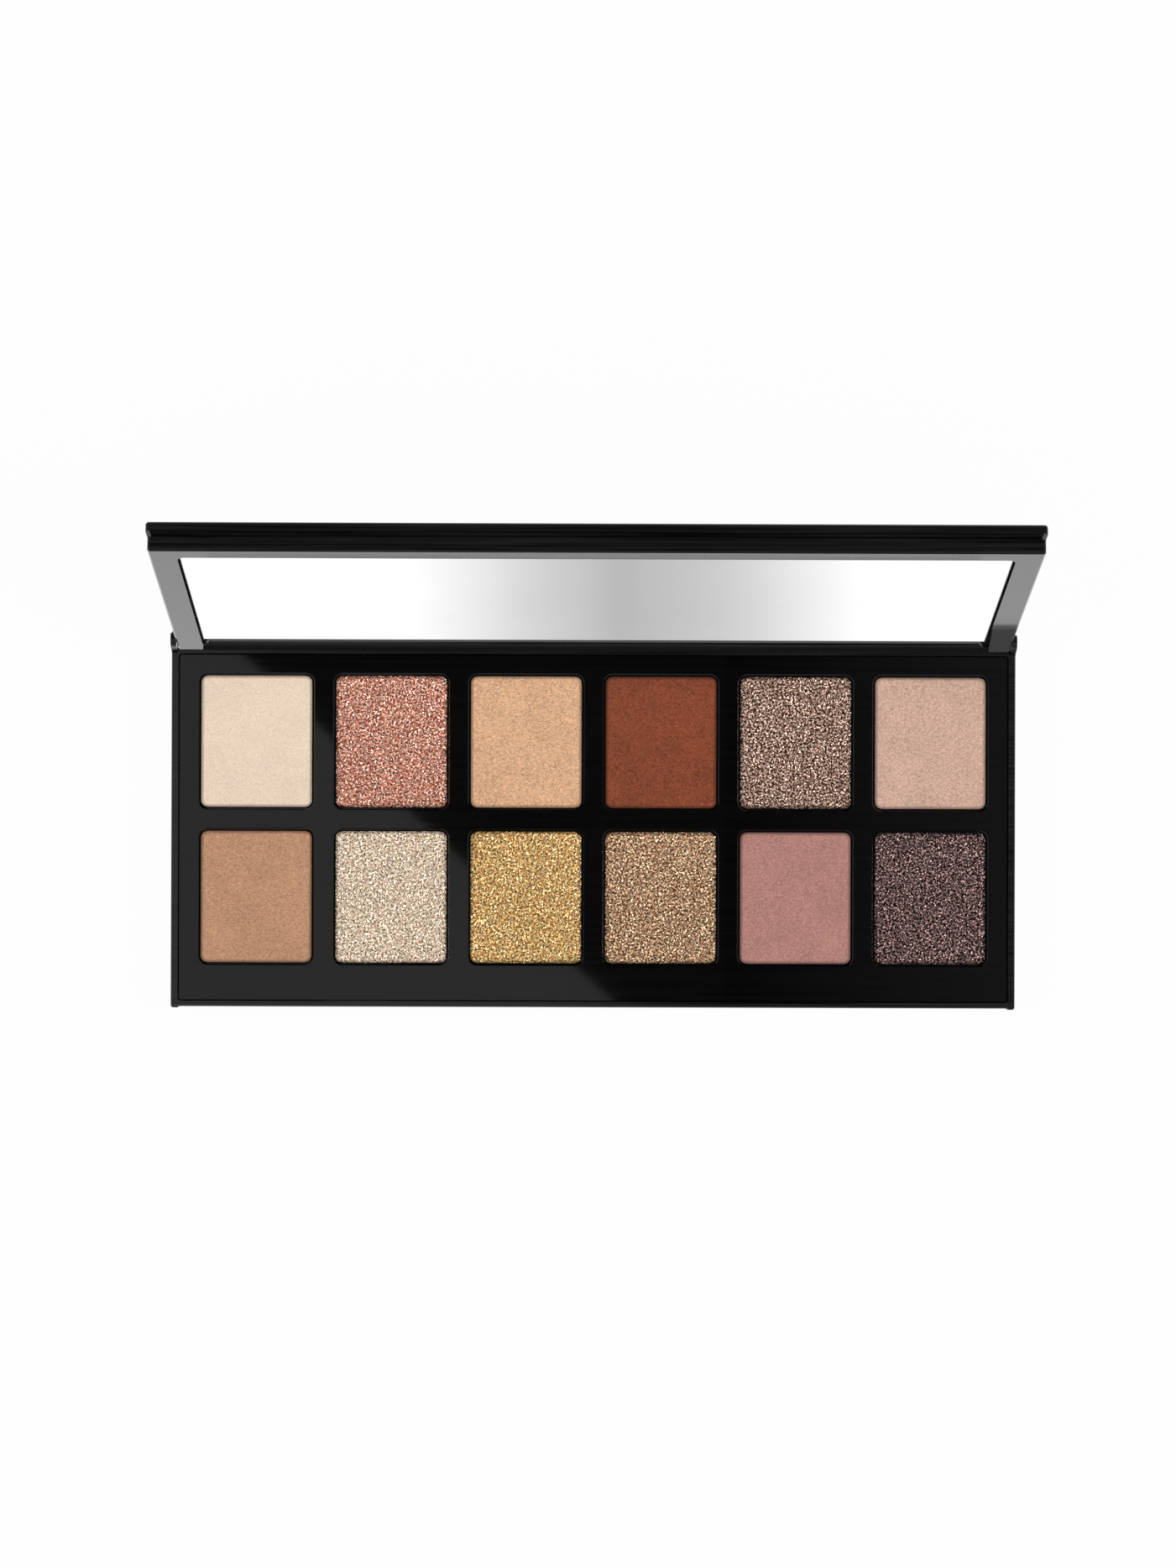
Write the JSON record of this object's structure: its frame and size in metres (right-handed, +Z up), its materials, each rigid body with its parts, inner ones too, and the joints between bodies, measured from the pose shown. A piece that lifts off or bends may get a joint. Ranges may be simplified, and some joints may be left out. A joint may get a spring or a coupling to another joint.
{
  "type": "eyeshadow palette",
  "caption": "Flat rectangular eyeshadow palette with rows of pressed powder pans in a black tray and a hinged lid holding a framed mirror.",
  "frame": {"origin": "centre of the base's flat underside", "axes": "+X along the palette's length, to the user's right; +Y from the front edge to the hinge; +Z up"},
  "size_m": [0.16, 0.0879, 0.0769],
  "materials": {
    "case_black": "gloss",
    "tray_black": "gloss",
    "pan_aluminium": "satin",
    "pan_glue": "matte",
    "magnet_nickel": "gloss",
    "pin_steel": "satin",
    "mirror_glass": "gloss",
    "foam_tape": "matte",
    "powder_ivory": "matte",
    "powder_rose_copper": "satin",
    "powder_peach": "satin",
    "powder_brick": "matte",
    "powder_taupe_bronze": "satin",
    "powder_pink_beige": "matte",
    "powder_caramel": "matte",
    "powder_champagne": "satin",
    "powder_gold": "satin",
    "powder_bronze_tan": "satin",
    "powder_mauve_rose": "matte",
    "powder_dark_plum": "satin"
  },
  "bodies": {
    "base": {"base_shell": "case_black", "pan_tray": "tray_black", "pan_01": "pan_aluminium", "shadow_01": "powder_ivory", "pan_02": "pan_aluminium", "shadow_02": "powder_rose_copper", "pan_03": "pan_aluminium", "shadow_03": "powder_peach", "pan_04": "pan_aluminium", "shadow_04": "powder_brick", "pan_05": "pan_aluminium", "shadow_05": "powder_taupe_bronze", "pan_06": "pan_aluminium", "shadow_06": "powder_pink_beige", "pan_07": "pan_aluminium", "shadow_07": "powder_caramel", "pan_08": "pan_aluminium", "shadow_08": "powder_champagne", "pan_09": "pan_aluminium", "shadow_09": "powder_gold", "pan_10": "pan_aluminium", "shadow_10": "powder_bronze_tan", "pan_11": "pan_aluminium", "shadow_11": "powder_mauve_rose", "pan_12": "pan_aluminium", "shadow_12": "powder_dark_plum", "pan_glue": "pan_glue", "base_magnets": "magnet_nickel", "hinge_pins": "pin_steel"},
    "lid": {"mirror_frame": "case_black", "lid_cover": "case_black", "mirror": "mirror_glass", "mirror_tape": "foam_tape", "lid_magnets": "magnet_nickel"}
  },
  "joints": [
    {"name": "lid_hinge", "type": "hinge", "parent": "base", "child": "lid", "pos_m": [0, 0.03393, 0.00885], "axis": [1, 0, 0], "range_deg": [0, 102.2]}
  ]
}
